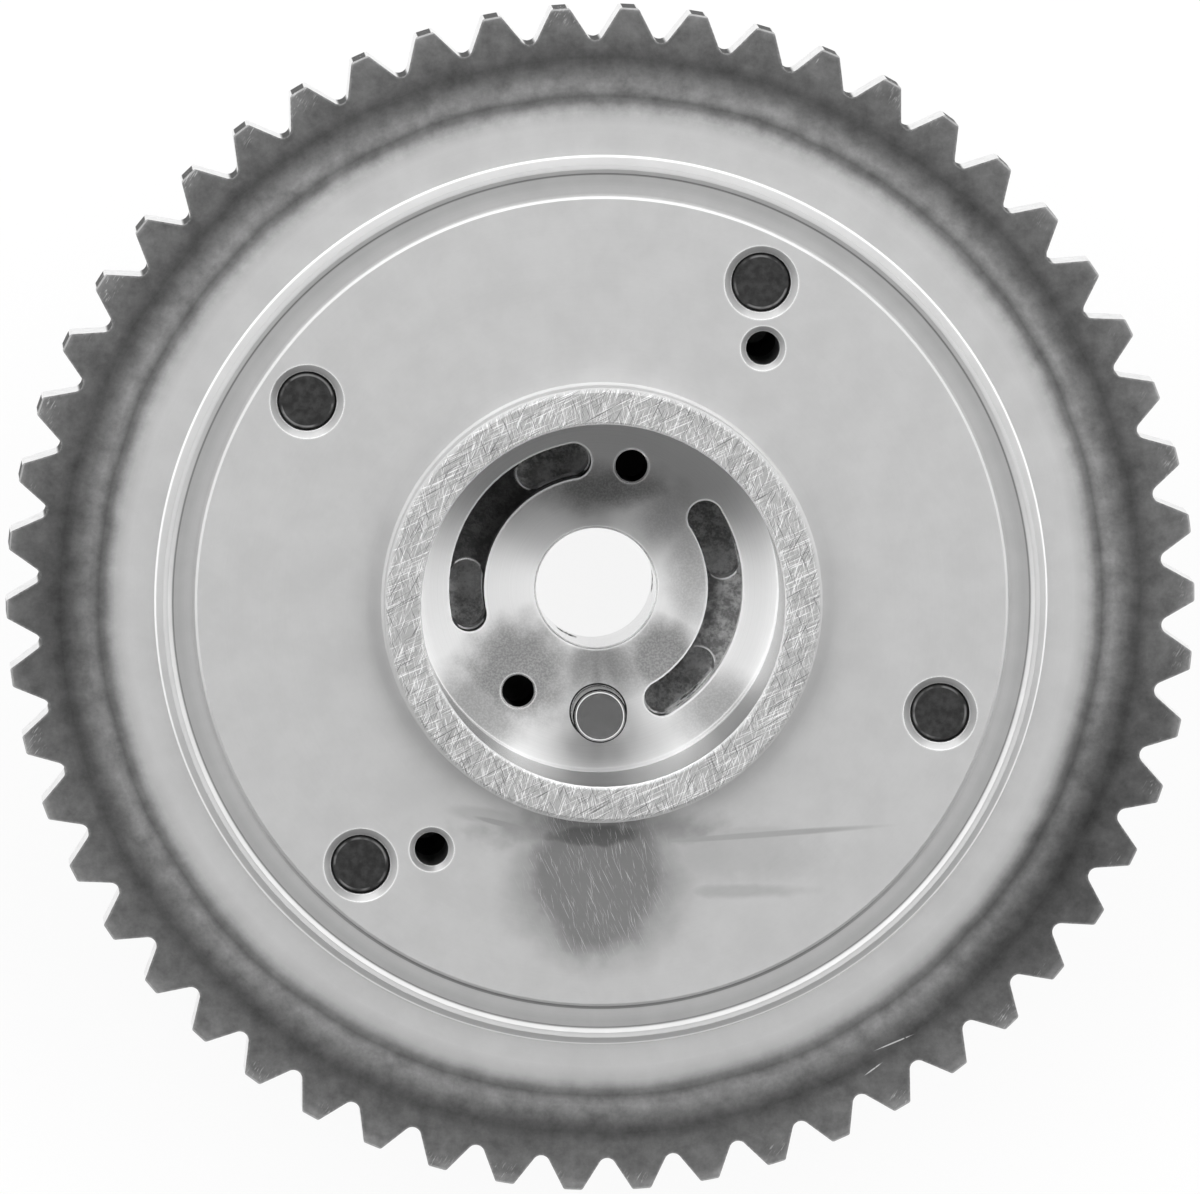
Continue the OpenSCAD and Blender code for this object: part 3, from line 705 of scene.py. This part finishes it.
scuffs = both(tree, scratches(tree, place, scuff_angle, scuff_length, scuff_width, 0.58, 0.68),
              rise(tree, radius, scuffs_from, scuffs_full),
              rise(tree, grain(tree, place, 170.0), 0.5, 0.6), scuff_share)
bared = most(tree, wear, scuffs)
for start, end in rim_nicks:
    scratch = both(tree, nick(tree, place, start, end, nick_width), rise(tree, speck, 0.3, 0.5))
    bared = most(tree, bared, scratch)
rubbed = most(tree, flanks, both(tree, tip_chamfer, chamfer_rub))
oxide = both(tree, less(tree, bare_share), less(tree, bared), less(tree, rubbed))
rubs = rise(tree, grain(tree, place, rubs_per_metre, detail=4.0, roughness=0.65), 0.3, 0.7)
steel = tint(tree, rubbed, steel, greys(tree, rubs, *rubbed_greys))
tree.links.new(tint(tree, oxide, steel, grey(0.0)), skin.inputs["Base Color"])
# The painted highlight lines are made less metallic, so they stay pale
highlight_lines = most(tree, both(tree, ridge_highlight, 0.8), both(tree, hole_highlights, 0.6),
                  both(tree, disc_edge_highlight, 0.15), both(tree, journal_highlight, 0.6))
tree.links.new(less(tree, highlight_lines), skin.inputs["Metallic"])

# The disc is dull, the journal and the countersinks are smooth
in_journal = less(tree, rise(tree, radius, journal_edge - 0.0002, journal_edge))
in_holes = both(tree, on_disc, less(tree, rise(tree, upward, 0.85, 0.97)))
dullness = spread(tree, marks, *plate_roughness)
dullness = calc(tree, "ADD", dullness, both(tree, oxide, oxide_dulling))
dullness = calc(tree, "SUBTRACT", dullness, both(tree, in_journal, journal_polish))
dullness = calc(tree, "SUBTRACT", dullness, both(tree, in_holes, countersink_polish))
dullness = calc(tree, "SUBTRACT", dullness, both(tree, rubbed, rub_polish))
tree.links.new(dullness, skin.inputs["Roughness"])
relief = calc(tree, "ADD", both(tree, marks, 0.1), both(tree, speck, 0.12))
relief = calc(tree, "SUBTRACT", relief, both(tree, dark_laps, on_collar, 0.5))
tree.links.new(bumps(tree, relief, plate_bump_strength, plate_bump_depth), skin.inputs["Normal"])
dress(plate_steel, "sprocket_plate")


# Cover bolts: four hardened screws with a black oxide skin, driven from the front by a hex key.
# Their ends stop a little below the disc, in tapped holes that go right through the plate.
bolt_count = 4
bolt_circle = 0.0329
first_bolt = -18.5
bolt_step = 82.0
bolt_highlight_in = 0.00225
bolt_highlight_out = 0.00252
bolt_highlight_grey = 0.45
bolt_highlight_share = 0.6
bolt_end_from = 0.037
bolt_end_full = 0.038
dents_per_metre = 1500.0
black_greys = (0.055, 0.085)
black_roughness = (0.34, 0.52)
dent_strength = 0.2
dent_depth = 0.00005

black_steel, tree, skin = new_metal("black_steel")
place = own_place(tree)
dents = grain(tree, place, dents_per_metre, detail=4.0, roughness=0.6)
blacking = greys(tree, rise(tree, dents, 0.3, 0.75), *black_greys)
height = part_of(tree, place, "Z")
flat = level_part(tree, place)
for index in range(bolt_count):
    turn = math.radians(first_bolt + index * bolt_step)
    spot = (bolt_circle * math.cos(turn), bolt_circle * math.sin(turn), 0)
    reach = length_of(tree, vector(tree, "SUBTRACT", flat, spot))
    # Painted highlight: a pale ring round the edge of each bolt's end
    bolt_end_highlight = both(tree, between(tree, reach, bolt_highlight_in, bolt_highlight_out, 0.0001),
                rise(tree, height, bolt_end_from, bolt_end_full),
                rise(tree, grain(tree, place, 500.0), 0.42, 0.6))
    blacking = paint(tree, blacking, bolt_end_highlight, bolt_highlight_share, bolt_highlight_grey)
tree.links.new(blacking, skin.inputs["Base Color"])
tree.links.new(spread(tree, dents, *black_roughness), skin.inputs["Roughness"])
tree.links.new(bumps(tree, dents, dent_strength, dent_depth), skin.inputs["Normal"])
dress(black_steel, "cover_bolts")


# Floor: a sheet of white paper on the table, which the bolt heads stand on.
# It reads as plain white to the eye and in the metal, with the part's soft shadow left in it.
floor_size = 12.0
paper_grey = 0.9
plain_white_share = 0.88

bpy.ops.object.select_all(action="DESELECT")
bpy.ops.mesh.primitive_plane_add(size=floor_size, location=(0, 0, 0))
floor = bpy.context.object
floor.name = "paper_floor"
white_paper = bpy.data.materials.new("white_paper")
white_paper.use_nodes = True
tree = white_paper.node_tree
tree.nodes.clear()
ray = wire(tree, "ShaderNodeLightPath").outputs
seen = most(tree, ray["Is Camera Ray"], ray["Is Glossy Ray"], ray["Is Transmission Ray"])
sheet = wire(tree, "ShaderNodeBsdfDiffuse", {"Color": grey(paper_grey)}).outputs["BSDF"]
shine = wire(tree, "ShaderNodeEmission", {"Color": grey(1.0), "Strength": 1.0}).outputs["Emission"]
shine_share = both(tree, seen, plain_white_share)
paper = wire(tree, "ShaderNodeMixShader", {0: shine_share, 1: sheet, 2: shine}).outputs[0]
clear = wire(tree, "ShaderNodeBsdfTransparent").outputs["BSDF"]
back = wire(tree, "ShaderNodeNewGeometry").outputs["Backfacing"]
sided = wire(tree, "ShaderNodeMixShader", {0: back, 1: paper, 2: clear}).outputs[0]
wire(tree, "ShaderNodeOutputMaterial", {"Surface": sided})
floor.data.materials.append(white_paper)


# Studio: a tent with a pale skirt and a dim roof, a soft panel high on each side, a wide one behind
# and a weak one in front. The camera looks down through the roof.
roof_from = 0.2
roof_full = 0.5
skirt_glow = 1.0
roof_glow = 0.11
# Name, place, width, height and brightness of each panel
panels = [
    ("left_panel", (-1.18, 0.42, 1.36), 2.2, 1.7, 2.3),
    ("right_panel", (1.18, 0.42, 1.36), 2.2, 1.7, 2.3),
    ("rear_panel", (0.0, 1.9, 1.3), 3.4, 2.4, 1.42),
    ("front_panel", (0.0, -1.8, 1.3), 2.4, 2.0, 0.22),
]
aim = Vector((0, 0, 0.03))

tent = bpy.data.worlds.new("pale_tent")
bpy.context.scene.world = tent
tent.use_nodes = True
tree = tent.node_tree
tree.nodes.clear()
way = wire(tree, "ShaderNodeTexCoord").outputs["Generated"]
overhead = rise(tree, part_of(tree, way, "Z"), roof_from, roof_full)
glow = greys(tree, overhead, skirt_glow, roof_glow)
wire(tree, "ShaderNodeOutputWorld", {
    "Surface": wire(tree, "ShaderNodeBackground", {"Color": glow, "Strength": 1.0}).outputs["Background"]})
for name, spot, wide, tall, brightness in panels:
    lamp = bpy.data.lights.new(name, "AREA")
    lamp.shape = "RECTANGLE"
    lamp.size = wide
    lamp.size_y = tall
    lamp.energy = brightness * math.pi * wide * tall
    panel = bpy.data.objects.new(name, lamp)
    bpy.context.scene.collection.objects.link(panel)
    panel.location = spot
    panel.rotation_euler = (aim - Vector(spot)).to_track_quat("-Z", "Y").to_euler()
    panel.visible_camera = False


# Camera: above the collar and leaning a little towards the top of the picture, with a long lens.
# A small shift brings the axis to where the photograph has it.
look = Vector((-0.042, 0.103, 1.0)).normalized()
middle = Vector((0, 0, disc_top))
camera_distance = 2.0
focal_length = 652.0
film_width = 36.0
photo_width = 1200
# How far the frame is moved across and up, in the photograph's pixels
frame_shift = (-1.9, 5.2)

lens = bpy.data.cameras.new("camera")
camera = bpy.data.objects.new("camera", lens)
bpy.context.scene.collection.objects.link(camera)
side = Vector((0, 1, 0)).cross(look).normalized()
over = look.cross(side)
turn = Matrix((side, over, look)).transposed().to_4x4()
camera.matrix_world = Matrix.Translation(middle + look * camera_distance) @ turn
lens.lens = focal_length
lens.sensor_width = film_width
lens.shift_x = frame_shift[0] / photo_width
lens.shift_y = frame_shift[1] / photo_width
lens.clip_end = 50.0
bpy.context.scene.camera = camera
bpy.context.scene.view_settings.view_transform = "Standard"
